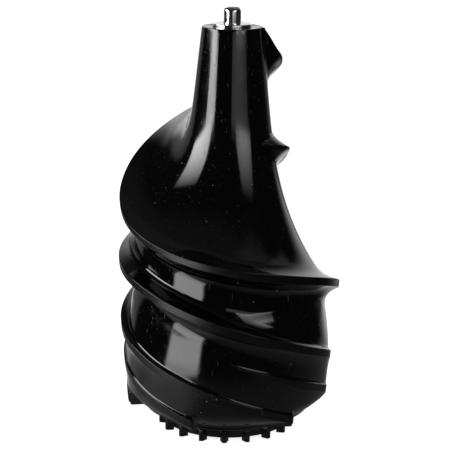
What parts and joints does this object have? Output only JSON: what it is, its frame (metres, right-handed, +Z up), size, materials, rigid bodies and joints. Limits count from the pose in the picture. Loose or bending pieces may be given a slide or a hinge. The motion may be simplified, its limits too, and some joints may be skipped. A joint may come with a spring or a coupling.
{
  "type": "squeezing screw of a cold press juicer",
  "caption": "Upright glossy black squeezing screw with steep left-handed flights, a slim neck with a steel bearing pin, and a toothed drive ring at its foot.",
  "frame": {"origin": "on the screw's axis, in the plane of the tooth ring's undersides that the screw stands on", "axes": "+Z up along the screw's axis from the toothed foot to the steel pin; -Y is the front, towards the picture's camera, and +X is to its right"},
  "size_m": [0.091, 0.0894, 0.1734],
  "materials": {
    "screw_black": "high-gloss injection-moulded black plastic with fine handling scratches",
    "ring_black": "satin-gloss moulded black plastic",
    "hub_grey": "fine matt moulded dark plastic",
    "polished_steel": "polished stainless steel with fine turning marks",
    "flange_steel": "bright turned stainless steel",
    "plain_steel": "bright machined stainless steel",
    "seal_rubber": "soft matt silicone rubber"
  },
  "bodies": {
    "root": {"top_pin": "polished_steel", "pin_flange": "flange_steel", "pin_sleeve": "plain_steel", "auger_body": "screw_black", "base_hub": "hub_grey", "drive_bush": "plain_steel", "bush_clip": "plain_steel", "tooth_ring": "ring_black", "seal_ring": "seal_rubber"}
  },
  "joints": []
}
